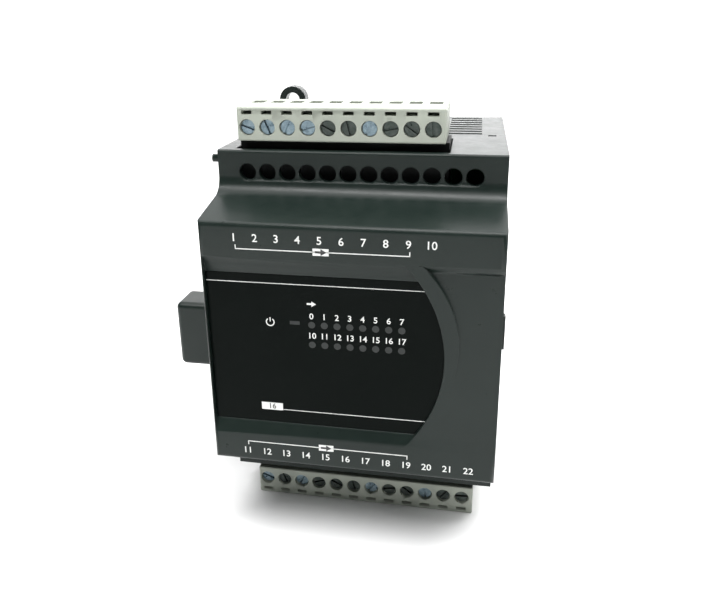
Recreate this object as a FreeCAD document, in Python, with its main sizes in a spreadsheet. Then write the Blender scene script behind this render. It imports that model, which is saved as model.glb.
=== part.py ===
import FreeCAD, Part
import Sketcher
import os
import re

# A DIN-rail input module: a two-part case with two pull-off terminal plugs, an indicator window
# and a side connector for its neighbours.
# X runs to the right, Y to the back and Z up. The origin is the centre of the rail seat.

document = FreeCAD.newDocument("input_module")
sizes = document.addObject("Spreadsheet::Sheet", "sizes")

DRIVING_SIZES = [
    # case
    ("body_width", 70, "case, left to right"),
    ("body_height", 90, "case, bottom to top"),
    ("body_depth", 78, "case, label face to rear face"),
    ("wall", 2, "case wall"),
    ("front_wall", 4, "case wall behind the label face"),
    ("cover_depth", 44, "label face to the seam between cover and base"),
    ("terminal_step", 13.6, "label face short of the case at its top and bottom"),
    ("recess_depth", 16.5, "label face to the stepped-back terminal face"),
    ("shelf_rise", 3.5, "how much the shelf above the label face rises on its way back"),
    ("shelf_fillet", 4.5, "inside radius where the shelf meets the terminal face"),
    ("front_round", 1.2, "outside radius round the label face"),
    ("edge_round", 0.6, "outside radius at the top and bottom of the terminal face"),
    ("part_gap", 0.15, "clearance between fixed pieces that fit together"),
    # relief of the label face
    ("upper_band", 8, "upper label band, along Z"),
    ("lower_band", 7.6, "lower label band, along Z"),
    ("upper_slope", 2.3, "height of the slope under the upper label band"),
    ("lower_slope", 3.3, "height of the slope over the lower label band"),
    ("window_recess", 1.5, "window face behind the label bands"),
    ("panel_recess_top", 1.4, "right-hand panel behind the label bands, at its top"),
    ("panel_recess_bottom", 0.6, "right-hand panel behind the label bands, at its bottom"),
    ("ridge_arc_x", -2, "centre of the ridge's outer arc"),
    ("ridge_arc_z", 3.1, "centre of the ridge's outer arc"),
    ("ridge_radius", 27.6, "ridge's outer arc"),
    ("ridge_fall", 1.4, "how far the ridge has sunk at the lower label band"),
    # window
    ("window_strip", 2.1, "case between the upper slope and the window"),
    ("window_rim", 0.6, "case edge left of the window"),
    ("window_arc_x", -12.2, "centre of the window's right-hand arc"),
    ("window_arc_z", -0.3, "centre of the window's right-hand arc"),
    ("window_radius", 34.5, "window's right-hand arc"),
    ("window_thickness", 1.2, "window plate"),
    ("window_ledge", 1.5, "ledge that the window lies on"),
    ("window_gap", 0.1, "clearance round the window"),
    # indicators
    ("led_columns", 8, "indicators in each row"),
    ("led_pitch", 3.04, "from one indicator to the next"),
    ("first_led_x", -8.9, "first indicator of each row"),
    ("upper_led_z", 6.9, "upper row"),
    ("lower_led_z", 1.75, "lower row"),
    ("led_radius", 0.9, "indicator lens"),
    ("power_led_x", -13, "power indicator"),
    ("power_led_width", 2.5, "power indicator, along X"),
    ("power_led_height", 1, "power indicator, along Z"),
    ("led_standoff", 0.3, "indicator lens to the window's back"),
    ("display_board_gap", 2.5, "front wall to the indicator board"),
    ("board_thickness", 1.6, "both circuit boards"),
    ("board_margin", 1.5, "indicator board past the window's opening"),
    # terminal rows
    ("pitch", 5, "from one terminal to the next"),
    ("row_poles", 12, "terminal positions across the case"),
    ("top_poles", 10, "terminals of the upper plug"),
    ("bottom_poles", 12, "terminals of the lower plug"),
    ("access_radius", 2.1, "round access holes in the terminal face"),
    ("access_drop", 5.4, "case top to the access holes' centres"),
    ("opening_depth", 19.5, "plug openings in the case, front to back"),
    ("opening_margin", 1, "plug openings past the plug's ends"),
    # terminal plugs
    ("plug_inset", 1.5, "plug front behind the terminal face"),
    ("plug_depth", 17, "plug block, front to back"),
    ("plug_height", 8.2, "plug block, along Z"),
    ("plug_lift", 2, "gap between the plug block and the case"),
    ("plug_end_wall", 0.5, "extra wall at the plug's right end"),
    ("nose_inset", 5.5, "plug front to the front of its nose"),
    ("nose_depth", 8.5, "nose, front to back"),
    ("nose_reach", 9.5, "nose past the plug block"),
    ("nose_end", 0.8, "nose short of each end of the plug block"),
    ("plug_round", 0.4, "outside edges of the plug block"),
    ("plug_travel", 16, "how far a plug pulls off"),
    ("plug_gap", 0.2, "clearance between nose and header"),
    ("seat_gap", 0.3, "plug to header floor and collar when plugged in"),
    ("entry_width", 3.2, "wire entry, along X"),
    ("key_slot_width", 2.6, "small slot beyond each screw, along X"),
    ("key_slot_height", 0.95, "small slot, along Z"),
    ("key_slot_depth", 4, "small slot, into the plug"),
    ("key_slot_rise", 3.6, "screw axis to the small slot's centre"),
    # terminal screws and clamps
    ("screw_rise", 3.3, "case side of the plug block to the screw axis"),
    ("head_radius", 1.75, "screw head"),
    ("head_thickness", 1.2, "screw head"),
    ("head_sink", 0.8, "plug front to the screw head"),
    ("head_gap", 0.2, "clearance round the screw head"),
    ("slot_width", 0.6, "screwdriver slot"),
    ("slot_depth", 0.6, "screwdriver slot"),
    ("screw_radius", 1.25, "threaded shank"),
    ("screw_gap", 0.1, "clearance round the shank"),
    ("head_seat", 0.05, "clearance under the screw head"),
    ("head_ledge", 0.95, "plug wall under the screw head"),
    ("tip_gap", 0.4, "screw tip to the contact bar"),
    ("thread_pitch", 0.45, "travel of the clamp for each turn"),
    ("screw_turns", 6, "turns from open to closed"),
    ("pole_wall", 0.8, "wall between two clamps"),
    ("cage_height", 4.6, "clamp, along Z"),
    ("cage_length", 8.2, "clamp, along Y"),
    ("cage_side", 0.5, "side walls of the clamp"),
    ("cage_end", 1, "end walls of the clamp"),
    ("cage_gap", 0.1, "clearance round the clamp"),
    # contacts, pins and headers
    ("pin_setback", 9.35, "plug front to the pin's centre"),
    ("pin_width", 1, "square header pin"),
    ("pin_top", 7.5, "pin tip above the header floor"),
    ("pin_drop", 3, "header to the pin's rear leg"),
    ("pin_tail", 1, "pin past the back of the board"),
    ("pin_hole_radius", 0.8, "board hole"),
    ("contact_gap", 0.05, "clearance between contact, pin and plug"),
    ("bar_gap", 0.3, "clearance between the contact bar and the clamp sides"),
    ("contact_thickness", 0.8, "contact bar"),
    ("leaf_thickness", 0.6, "spring leaf"),
    ("shroud_wall", 1.3, "header walls"),
    ("header_floor", 3, "header floor"),
    ("board_setback", 4, "nose to the main board"),
    ("board_edge_gap", 2, "main board short of the case walls at its top and bottom"),
    ("board_side_gap", 0.5, "both boards short of the case walls at their sides"),
    # side connector
    ("bus_z", -4.6, "centre of the side connector"),
    ("bus_setback", 19, "label face to the centre of the side connector"),
    ("bus_height", 18, "side plug, along Z"),
    ("bus_depth", 10, "side plug, along Y"),
    ("bus_reach", 13.9, "side plug past the case"),
    ("bus_round", 1.5, "outside edges of the side plug"),
    ("bus_gap", 0.2, "clearance round the side plug in its neighbour"),
    ("bus_wall", 2, "walls of the side plug"),
    ("bus_flange", 1.5, "inside flange that holds the side plug"),
    ("tongue_thickness", 1.6, "contact tongue of the side socket"),
    ("tongue_length", 4, "contact tongue of the side socket"),
    ("tongue_margin", 2.5, "tongue short of the socket's ends"),
    ("socket_wall", 1.5, "walls of the side socket"),
    ("port_cover_thickness", 1.8, "port cover plate"),
    ("port_lip", 1.6, "port cover's lip inside the socket"),
    ("port_lip_wall", 1, "wall of that lip"),
    ("port_tab_depth", 2, "finger tab, along Y"),
    ("port_tab_reach", 1.4, "finger tab past the case"),
    ("port_travel", 6, "how far the port cover pulls off"),
    # rail mount
    ("rail_depth", 8, "rail channel, rear face to seat"),
    ("channel_height", 35.8, "rail channel, bottom to top"),
    ("hook_gap", 1.4, "seat to the fixed hook"),
    ("hook_thickness", 2.1, "fixed hook"),
    ("hook_drop", 2, "how far the fixed hook hangs into the channel"),
    ("clip_width", 16, "rail clip"),
    ("clip_thickness", 3, "rail clip"),
    ("clip_front", 1.3, "seat to the rail clip"),
    ("clip_gap", 0.2, "clearance round the rail clip"),
    ("clip_grip", 2.2, "how far the clip rises into the channel"),
    ("clip_reach", 8.5, "clip below the case"),
    ("clip_travel", 4.5, "how far the clip pulls down"),
    ("clip_rail", 1.5, "guide rails behind the clip"),
    ("clip_foot", 1.5, "bent foot of the clip, along Z"),
    ("clip_foot_reach", 1.7, "bent foot behind the clip"),
    ("clip_slot_width", 8, "screwdriver slot in the clip"),
    ("clip_slot_height", 3, "screwdriver slot in the clip"),
    ("spring_slit", 0.8, "slits beside the clip's spring arms"),
    ("spring_length", 16, "clip's spring arms"),
    # ears, pegs, vents and posts
    ("ear_inset", 4.2, "case side to the ear holes' centres"),
    ("ear_rise", 5.4, "case top and bottom to the ear holes' centres"),
    ("ear_radius", 4.2, "ear's outside"),
    ("ear_hole_radius", 2.25, "ear hole"),
    ("ear_thickness", 4.2, "ear"),
    ("peg_radius", 1, "locating peg"),
    ("peg_reach", 2.5, "locating peg past the case"),
    ("peg_inset", 2.8, "case top and bottom to the locating pegs"),
    ("peg_setback", 20, "label face to the locating pegs"),
    ("peg_gap", 0.15, "clearance round the peg in its neighbour"),
    ("vent_count", 8, "vent slots in the top and in the bottom"),
    ("vent_pitch", 4, "from one vent slot to the next"),
    ("vent_width", 1.9, "vent slot, along Y"),
    ("vent_left", 19.7, "vent slots' left end"),
    ("vent_right", 28.8, "vent slots' right end"),
    ("vent_setback", 2, "seam to the first vent slot's centre"),
    ("lip_reach", 2.5, "base's lip inside the cover"),
    ("lip_wall", 1.2, "base's lip"),
    ("mouth_depth", 2, "thick rim at the base's mouth"),
    ("snap_inset", 3.5, "case side to the snap tabs' centre"),
    ("snap_width", 2.1, "snap notch, along X"),
    ("snap_depth", 2, "snap notch, along Y"),
    ("snap_gap", 0.2, "clearance round a snap tab"),
    ("post_radius", 2.5, "posts that carry the main board"),
    ("post_inset_x", 6.5, "case side to the board posts"),
    ("post_inset_z", 8.5, "case top and bottom to the board posts"),
    ("display_post", 1.5, "posts that carry the indicator board"),
]

for row, (alias, size, note) in enumerate(DRIVING_SIZES, start=1):
    sizes.set(f"A{row}", note)
    sizes.set(f"B{row}", str(size))
    sizes.setAlias(f"B{row}", alias)
document.recompute()
ALIASES = {alias for alias, size, note in DRIVING_SIZES}

# Planes and places that follow from the driving sizes. Heights are for the upper half of the case.
PLACES = {
    "half_width": "body_width / 2",
    "half_height": "body_height / 2",
    "rear_face": "rail_depth",
    "label_face": "rail_depth - body_depth",
    "terminal_face": "label_face + recess_depth",
    "seam": "label_face + cover_depth",
    "beyond": "1",
    "shelf_front": "half_height - terminal_step",
    "shelf_root": "shelf_front + shelf_rise",
    "inner_x": "half_width - wall",
    "inner_z": "half_height - wall",
    "inner_terminal": "terminal_face + wall",
    "inner_front": "label_face + front_wall",
    "panel_top": "shelf_front - upper_band",
    "panel_bottom": "shelf_front - lower_band",
    "window_face": "label_face + window_recess",
    "window_back": "window_face + window_thickness",
    "window_left": "window_rim - half_width",
    "window_right": "window_arc_x + window_radius",
    "window_bottom": "lower_slope - panel_bottom",
    "window_top": "panel_top - upper_slope - window_strip",
    "display_front": "inner_front + display_board_gap",
    "display_back": "display_front + board_thickness",
    "display_left": "board_side_gap - inner_x",
    "display_right": "window_right - window_ledge + board_margin",
    "display_top": "window_top - window_ledge + board_margin",
    "display_bottom": "window_bottom + window_ledge - board_margin",
    "led_front": "window_back + led_standoff",
    "first_pole": "(1 - row_poles) * pitch / 2",
    "plug_left": "first_pole - pitch / 2",
    "plug_front": "terminal_face + plug_inset",
    "plug_back": "plug_front + plug_depth",
    "plug_base": "half_height + plug_lift",
    "plug_crown": "plug_base + plug_height",
    "nose_front": "plug_front + nose_inset",
    "nose_back": "nose_front + nose_depth",
    "nose_tip": "plug_base - nose_reach",
    "screw_z": "plug_base + screw_rise",
    "access_height": "half_height - access_drop",
    "head_front": "plug_front + head_sink",
    "head_back": "head_front + head_thickness",
    "ledge_front": "head_back + head_seat",
    "pocket_front": "ledge_front + head_ledge",
    "cage_travel": "thread_pitch * screw_turns",
    "cage_width": "pitch - pole_wall - 2 * cage_gap",
    "contact_width": "cage_width - 2 * cage_side - 2 * bar_gap",
    "cage_front": "pocket_front + cage_gap + cage_travel",
    "cage_back": "cage_front + cage_length",
    "pocket_back": "cage_back + cage_gap",
    "cage_low": "screw_z - cage_height / 2",
    "cage_high": "screw_z + cage_height / 2",
    "pin_front": "plug_front + pin_setback - pin_width / 2",
    "pin_back": "plug_front + pin_setback + pin_width / 2",
    "bar_back": "pin_front - contact_gap",
    "bar_front": "bar_back - contact_thickness",
    "leaf_front": "pin_back + contact_gap",
    "leaf_back": "leaf_front + leaf_thickness",
    "screw_tip": "bar_front - tip_gap",
    "floor_top": "nose_tip - seat_gap",
    "header_base": "floor_top - header_floor",
    "header_front": "nose_front - plug_gap - shroud_wall",
    "header_rim": "inner_z - part_gap",
    "collar_rim": "plug_base - seat_gap",
    "board_front": "nose_back + board_setback",
    "board_back": "board_front + board_thickness",
    "pin_tip": "floor_top + pin_top",
    "pin_leg": "header_base - pin_drop",
    "bus_y": "label_face + bus_setback",
    "bus_front": "bus_y - bus_depth / 2",
    "bus_back": "bus_y + bus_depth / 2",
    "bus_low": "bus_z - bus_height / 2",
    "bus_high": "bus_z + bus_height / 2",
    "port_front": "bus_front - bus_gap",
    "port_back": "bus_back + bus_gap",
    "port_low": "bus_low - bus_gap",
    "port_high": "bus_high + bus_gap",
    "socket_floor": "half_width - bus_reach - seat_gap",
    "channel_half": "channel_height / 2",
    "clip_back": "clip_front + clip_thickness",
    "clip_top": "clip_grip - channel_half",
    "clip_foot_low": "0 - half_height - clip_reach",
    "slide_front": "clip_front - clip_gap",
    "slide_back": "clip_back + clip_gap",
    "slide_half": "clip_width / 2 + clip_gap",
    "ear_x": "half_width - ear_inset",
    "ear_z": "half_height + ear_rise",
    "peg_z": "half_height - peg_inset",
    "lip_x": "inner_x - part_gap",
    "lip_z": "inner_z - part_gap",
}


def formula(text):
    """The expression for a size: places become their own formulas, sizes become cells."""
    def spell_out(match):
        word = match.group(0)
        if word in PLACES:
            return "(" + formula(PLACES[word]) + ")"
        return "sizes." + word if word in ALIASES else word
    return re.sub(r"[a-z_][a-z_0-9]*", spell_out, str(text))


def value(text):
    return float(sizes.evalExpression(formula(text)))


def flipped(side, low, high):
    """A stretch of height for the upper half, or its mirror image for the lower half."""
    return (low, high) if side == "top" else (f"0 - ({high})", f"0 - ({low})")


def box(name, x, y, z):
    solid = document.addObject("Part::Box", name)
    for size, axis, (low, high) in zip(("Length", "Width", "Height"), "xyz", (x, y, z)):
        solid.setExpression(size, formula(f"({high}) - ({low})"))
        solid.setExpression(f"Placement.Base.{axis}", formula(low))
    return solid


AXIS_TURNS = {
    "x": FreeCAD.Rotation(FreeCAD.Vector(0, 1, 0), 90),
    "y": FreeCAD.Rotation(FreeCAD.Vector(1, 0, 0), -90),
}


def rod(name, axis, centre, ends, radius):
    """A cylinder along X or Y, with its centre given by the other two coordinates in order."""
    solid = document.addObject("Part::Cylinder", name)
    solid.Placement = FreeCAD.Placement(FreeCAD.Vector(), AXIS_TURNS[axis])
    solid.setExpression("Radius", formula(radius))
    solid.setExpression("Height", formula(f"({ends[1]}) - ({ends[0]})"))
    others = [letter for letter in "xyz" if letter != axis]
    for letter, place in zip([axis] + others, [ends[0]] + list(centre)):
        solid.setExpression(f"Placement.Base.{letter}", formula(place))
    return solid


def combined(kind, name, pieces):
    result = document.addObject(kind, name)
    result.Shapes = pieces
    return result


def joined(name, pieces):
    return combined("Part::MultiFuse", name, pieces)


def shared(name, pieces):
    return combined("Part::MultiCommon", name, pieces)


def carved(name, base, tools):
    result = document.addObject("Part::Cut", name)
    result.Base = base
    result.Tool = tools[0] if len(tools) == 1 else joined(name + "_tools", tools)
    return result


def grouped(name, pieces):
    """Separate solids that share one node."""
    result = document.addObject("Part::Compound", name)
    result.Links = pieces
    return result


def outline(body, role, name, corners):
    """A closed sketch on one of the body's origin planes, with every corner bound to its formulas."""
    sketch = body.newObject("Sketcher::SketchObject", name)
    plane = next(item for item in body.Origin.OriginFeatures if item.Role == role)
    sketch.AttachmentSupport = [(plane, "")]
    sketch.MapMode = "FlatFace"
    points = [FreeCAD.Vector(value(u), value(v), 0) for u, v in corners]
    following = points[1:] + points[:1]
    for start, end in zip(points, following):
        sketch.addGeometry(Part.LineSegment(start, end), False)
    for edge in range(len(points)):
        sketch.addConstraint(Sketcher.Constraint("Coincident", edge, 2, (edge + 1) % len(points), 1))
    for edge, corner in enumerate(corners):
        for kind, place in zip(("DistanceX", "DistanceY"), corner):
            constraint = Sketcher.Constraint(kind, -1, 1, edge, 1, value(place))
            number = sketch.addConstraint(constraint)
            sketch.setExpression(f"Constraints[{number}]", formula(place))
    return sketch


def across(kind, body, name, corners, width):
    """A pad or pocket of a YZ outline, as wide on the left as on the right."""
    sketch = outline(body, "YZ_Plane", name + "_outline", corners)
    feature = body.newObject(kind, name)
    feature.Profile = sketch
    feature.Midplane = True
    feature.setExpression("Length", formula(width))
    return feature


def profile_bar(name, corners, width):
    """A plain body with one YZ outline, as wide on the left as on the right."""
    body = document.addObject("PartDesign::Body", name)
    across("PartDesign::Pad", body, name + "_pad", corners, width)
    return body


def rounded(body, name, feature, radius, wanted):
    """A fillet on the feature's straight edges whose middle point passes the test."""
    document.recompute()
    picks = []
    for number, edge in enumerate(feature.Shape.Edges, start=1):
        middle = edge.valueAt((edge.FirstParameter + edge.LastParameter) / 2)
        run = edge.tangentAt(edge.FirstParameter)
        if wanted(middle, run):
            picks.append(f"Edge{number}")
    fillet = body.newObject("PartDesign::Fillet", name)
    fillet.Base = (feature, picks)
    fillet.setExpression("Radius", formula(radius))
    return fillet


def near(number, text):
    return abs(number - value(text)) < value("beyond") / 100


def pole_x(pole):
    return f"first_pole + {pole} * pitch"


nodes = []


def piece(solid, label):
    solid.Label = label
    nodes.append(solid)
    return solid


# ---- front cover -------------------------------------------------------------------------------

def cover_shell():
    body = document.addObject("PartDesign::Body", "cover_shell")
    block = across("PartDesign::Pad", body, "cover_block", [
        ("seam", "half_height"),
        ("terminal_face", "half_height"),
        ("terminal_face", "shelf_root"),
        ("label_face", "shelf_front"),
        ("label_face", "0 - shelf_front"),
        ("terminal_face", "0 - shelf_root"),
        ("terminal_face", "0 - half_height"),
        ("seam", "0 - half_height"),
    ], "body_width")

    def runs_across(middle, run, y, z):
        return abs(run.x) > 0.9 and near(middle.y, y) and near(abs(middle.z), z)

    shelf = rounded(body, "shelf_fillets", block, "shelf_fillet",
                    lambda middle, run: runs_across(middle, run, "terminal_face", "shelf_root"))
    face = rounded(body, "label_face_fillets", shelf, "front_round",
                   lambda middle, run: near(middle.y, "label_face"))
    edges = rounded(body, "terminal_face_fillets", face, "edge_round",
                    lambda middle, run: runs_across(middle, run, "terminal_face", "half_height"))
    hollow = across("PartDesign::Pocket", body, "cover_hollow", [
        ("seam + beyond", "inner_z"),
        ("inner_terminal", "inner_z"),
        ("inner_terminal", "shelf_root - wall"),
        ("inner_front", "shelf_front - wall"),
        ("inner_front", "wall - shelf_front"),
        ("inner_terminal", "wall - shelf_root"),
        ("inner_terminal", "0 - inner_z"),
        ("seam + beyond", "0 - inner_z"),
    ], "2 * inner_x")
    document.recompute()
    assert hollow.Shape.Volume < edges.Shape.Volume / 2
    return body


def window_region(name, y, inset):
    """The window's outline, made smaller by the inset, between two planes."""
    frame = box(name + "_frame", (f"window_left + {inset}", "window_right + beyond"), y,
                (f"window_bottom + {inset}", f"window_top - ({inset})"))
    disc = rod(name + "_disc", "y", ("window_arc_x", "window_arc_z"), y,
               f"window_radius - ({inset})")
    return shared(name, [frame, disc])


def window_relief():
    """The sunk field round the window, with a slope above and below it."""
    field = profile_bar("window_field", [
        ("label_face - beyond", "panel_top"),
        ("label_face", "panel_top"),
        ("window_face", "panel_top - upper_slope"),
        ("window_face", "window_bottom"),
        ("label_face", "0 - panel_bottom"),
        ("label_face - beyond", "0 - panel_bottom"),
    ], "body_width")
    reach = ("label_face - 2 * beyond", "window_face + beyond")
    limit = box("window_field_limit", ("window_left", "window_right"), reach,
                ("0 - half_height", "half_height"))
    disc = rod("window_field_disc", "y", ("window_arc_x", "window_arc_z"), reach, "window_radius")
    return shared("window_relief", [field, limit, disc])


def panel_relief():
    """The sunk panel on the right, less the ridge that stands between it and the window."""
    panel = profile_bar("panel_field", [
        ("label_face - beyond", "panel_top"),
        ("label_face", "panel_top"),
        ("label_face + panel_recess_top", "panel_top - upper_slope"),
        ("label_face + panel_recess_bottom", "window_bottom"),
        ("label_face", "0 - panel_bottom"),
        ("label_face - beyond", "0 - panel_bottom"),
    ], "body_width + 2 * beyond")
    reach = ("label_face - 2 * beyond", "inner_front")
    limit = box("panel_field_limit", ("0", "half_width + beyond"), reach,
                ("0 - half_height", "half_height"))
    ridge_slab = profile_bar("ridge_slab", [
        ("label_face", "panel_top + beyond"),
        ("label_face", "panel_top"),
        ("label_face + ridge_fall", "0 - panel_bottom"),
        ("inner_front", "0 - panel_bottom"),
        ("inner_front", "panel_top + beyond"),
    ], "body_width")
    ridge_disc = rod("ridge_disc", "y", ("ridge_arc_x", "ridge_arc_z"), reach, "ridge_radius")
    ridge = shared("ridge", [ridge_slab, ridge_disc])
    return carved("panel_relief", shared("panel_right", [panel, limit]), [ridge])


def row_end(poles):
    return f"plug_left + {poles} * pitch + plug_end_wall"


def plug_opening(side, poles):
    return box(f"{side}_opening", ("plug_left - opening_margin", f"{row_end(poles)} + opening_margin"),
               ("inner_terminal", "inner_terminal + opening_depth"),
               flipped(side, "inner_z - beyond", "half_height + beyond"))


def access_holes(side):
    height = "access_height" if side == "top" else "0 - access_height"
    return [rod(f"{side}_access_{pole}", "y", (pole_x(pole), height),
                ("terminal_face - recess_depth", "inner_terminal + beyond"), "access_radius")
            for pole in range(int(value("row_poles")))]


def snap_places():
    for side in ("top", "bottom"):
        for hand, sign in (("left", "-1"), ("right", "1")):
            yield f"{side}_{hand}", side, f"{sign} * (half_width - snap_inset)"


def snap_notches():
    return [box(f"snap_notch_{name}", (f"{centre} - snap_width / 2", f"{centre} + snap_width / 2"),
                ("seam - snap_depth", "seam + beyond"),
                flipped(side, "inner_z - beyond / 2", "half_height + beyond"))
            for name, side, centre in snap_places()]


def front_cover():
    pegs = [rod(f"peg_{side}", "x", ("label_face + peg_setback", flipped(side, "peg_z", "peg_z")[0]),
                ("0 - half_width - peg_reach", "0 - inner_x"), "peg_radius")
            for side in ("top", "bottom")]
    posts = [rod(f"display_post_{column}_{row}", "y", (x, z), ("inner_front - beyond", "display_front"),
                 "display_post")
             for column, x in enumerate(("display_left + 2 * display_post",
                                         "display_right - 6 * display_post"))
             for row, z in enumerate(("display_bottom + 0.5 * display_post",
                                      "display_top - 0.5 * display_post"))]
    solid = joined("cover_solid", [cover_shell()] + pegs + posts)
    cuts = [
        window_relief(),
        panel_relief(),
        window_region("window_pocket", ("window_face - beyond", "window_back"), "0"),
        window_region("window_opening", ("window_back - beyond", "inner_front + beyond"), "window_ledge"),
        plug_opening("top", "top_poles"),
        plug_opening("bottom", "bottom_poles"),
        box("bus_hole", ("0 - half_width - beyond", "beyond - inner_x"),
            ("bus_front - part_gap", "bus_back + part_gap"), ("bus_low - part_gap", "bus_high + part_gap")),
        box("port_hole", ("inner_x - beyond", "half_width + beyond"),
            ("port_front", "port_back"), ("port_low", "port_high")),
    ]
    cuts += access_holes("top") + access_holes("bottom") + snap_notches()
    cuts += [rod(f"peg_hole_{side}", "x",
                 ("label_face + peg_setback", flipped(side, "peg_z", "peg_z")[0]),
                 ("inner_x - beyond", "half_width + beyond"), "peg_radius + peg_gap")
             for side in ("top", "bottom")]
    return carved("front_cover", solid, cuts)


piece(front_cover(), "front_cover")


# ---- indicator window, lenses and their board --------------------------------------------------

def led_x(column):
    return f"first_led_x + {column} * led_pitch"


def indicator_leds():
    lenses = []
    reach = ("led_front", "display_front")
    for row, height in (("upper", "upper_led_z"), ("lower", "lower_led_z")):
        for column in range(int(value("led_columns"))):
            lenses.append(rod(f"led_{row}_{column}", "y", (led_x(column), height), reach, "led_radius"))
    lenses.append(box("led_power",
                      ("power_led_x - power_led_width / 2", "power_led_x + power_led_width / 2"), reach,
                      ("upper_led_z - power_led_height / 2", "upper_led_z + power_led_height / 2")))
    return grouped("indicator_leds", lenses)


piece(window_region("indicator_window", ("window_face", "window_back"), "window_gap"), "indicator_window")
piece(indicator_leds(), "indicator_leds")
piece(box("display_board", ("display_left", "display_right"), ("display_front", "display_back"),
          ("display_bottom", "display_top")), "display_board")


# ---- rear base ---------------------------------------------------------------------------------

def base_shell():
    body = document.addObject("PartDesign::Body", "base_shell")
    block = across("PartDesign::Pad", body, "base_block", [
        ("seam", "half_height"),
        ("rear_face", "half_height"),
        ("rear_face", "channel_half + beyond"),
        ("hook_gap + hook_thickness", "channel_half - hook_drop"),
        ("hook_gap", "channel_half - hook_drop"),
        ("hook_gap", "channel_half"),
        ("0", "channel_half"),
        ("0", "0 - channel_half"),
        ("rear_face", "0 - channel_half"),
        ("rear_face", "0 - half_height"),
        ("seam", "0 - half_height"),
    ], "body_width")
    hollow = across("PartDesign::Pocket", body, "base_hollow", [
        ("seam - beyond", "inner_z"),
        ("rear_face - wall", "inner_z"),
        ("rear_face - wall", "channel_half + wall"),
        ("0 - wall", "channel_half + wall"),
        ("0 - wall", "0 - channel_half - wall"),
        ("rear_face - wall", "0 - channel_half - wall"),
        ("rear_face - wall", "0 - inner_z"),
        ("seam - beyond", "0 - inner_z"),
    ], "2 * inner_x")
    document.recompute()
    assert hollow.Shape.Volume < block.Shape.Volume / 2
    return body


def ring(name, half_x, half_z, y, thickness):
    """A rectangular ring round the Y axis."""
    outside = box(name + "_outside", (f"0 - ({half_x})", half_x), y, (f"0 - ({half_z})", half_z))
    inside = box(name + "_inside", (f"{thickness} - ({half_x})", f"{half_x} - ({thickness})"),
                 (f"{y[0]} - beyond", f"{y[1]} + beyond"),
                 (f"{thickness} - ({half_z})", f"{half_z} - ({thickness})"))
    return carved(name, outside, [inside])


# The upper left and the lower right corner carry an ear.
EARS = (("top", "0 - ear_x", "ear_z"), ("bottom", "ear_x", "0 - ear_z"))


def ears():
    reach = ("rear_face - ear_thickness", "rear_face")
    for side, x, z in EARS:
        yield rod(f"ear_{side}", "y", (x, z), reach, "ear_radius")
        yield box(f"ear_neck_{side}",
                  (f"{x} - ear_hole_radius - wall / 2", f"{x} + ear_hole_radius + wall / 2"), reach,
                  flipped(side, "half_height - wall / 2", "ear_z"))


def vents():
    for side in ("top", "bottom"):
        for slot in range(int(value("vent_count"))):
            centre = f"seam + vent_setback + {slot} * vent_pitch"
            yield box(f"vent_{side}_{slot}", ("vent_left", "vent_right"),
                      (f"{centre} - vent_width / 2", f"{centre} + vent_width / 2"),
                      flipped(side, "inner_z - 2 * wall", "half_height + beyond"))


def rear_base():
    guide = box("clip_guide", ("0 - slide_half - wall", "slide_half + wall"),
                ("slide_front - wall", "rear_face - wall / 2"),
                ("wall / 2 - half_height", "0 - channel_half - wall / 2"))
    posts = [rod(f"board_post_{x_side}_{side}", "y",
                 (f"{x_side} * (half_width - post_inset_x)",
                  flipped(side, "half_height - post_inset_z", "half_height - post_inset_z")[0]),
                 ("board_back", "rear_face - wall / 2"), "post_radius")
             for x_side in (-1, 1) for side in ("top", "bottom")]
    tabs = [box(f"snap_tab_{name}",
                (f"{centre} - snap_width / 2 + snap_gap", f"{centre} + snap_width / 2 - snap_gap"),
                ("seam - snap_depth + snap_gap", "seam - snap_gap"),
                flipped(side, "lip_z - lip_wall / 2", "half_height - snap_gap"))
            for name, side, centre in snap_places()]
    lip = ring("lip", "lip_x", "lip_z", ("seam - lip_reach", "seam + mouth_depth"), "lip_wall")
    mouth = ring("mouth", "inner_x + wall / 2", "inner_z + wall / 2", ("seam", "seam + mouth_depth"),
                 "wall / 2 + part_gap + lip_wall")
    solid = joined("base_solid", [base_shell(), guide, lip, mouth] + posts + tabs + list(ears()))
    slide_z = ("0 - half_height - beyond", "beyond - channel_half")
    cuts = [
        box("slide_slot", ("0 - slide_half", "slide_half"), ("slide_front", "slide_back"), slide_z),
        box("slide_window", ("clip_rail - slide_half", "slide_half - clip_rail"),
            ("slide_front", "rear_face + beyond"), slide_z),
    ]
    cuts += [rod(f"ear_hole_{side}", "y", (x, z), ("seam", "rear_face + beyond"), "ear_hole_radius")
             for side, x, z in EARS]
    return carved("rear_base", solid, cuts + list(vents()))


piece(rear_base(), "rear_base")


# ---- rail clip ---------------------------------------------------------------------------------

def din_clip():
    tooth = profile_bar("clip_plate", [
        ("clip_front", "clip_foot_low"),
        ("clip_back + clip_foot_reach", "clip_foot_low"),
        ("clip_back + clip_foot_reach", "clip_foot_low + clip_foot"),
        ("clip_back", "clip_foot_low + clip_foot"),
        ("clip_back", "clip_top - clip_thickness / 2"),
        ("clip_back - clip_thickness / 2", "clip_top"),
        ("clip_front", "clip_top"),
    ], "clip_width")
    through = ("clip_front - beyond", "clip_back + beyond")
    slit_top = "clip_top - clip_thickness - wall"
    slot_low = "clip_foot_low + clip_foot + wall / 2"
    cuts = [box("clip_screwdriver_slot", ("0 - clip_slot_width / 2", "clip_slot_width / 2"), through,
                (slot_low, f"{slot_low} + clip_slot_height"))]
    for hand in (-1, 1):
        middle = f"{hand} * clip_width / 4"
        cuts.append(box(f"spring_slit_{hand + 1}",
                        (f"{middle} - spring_slit / 2", f"{middle} + spring_slit / 2"), through,
                        (f"{slit_top} - spring_length", slit_top)))
    return carved("din_clip", tooth, cuts)


piece(din_clip(), "din_clip")


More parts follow.
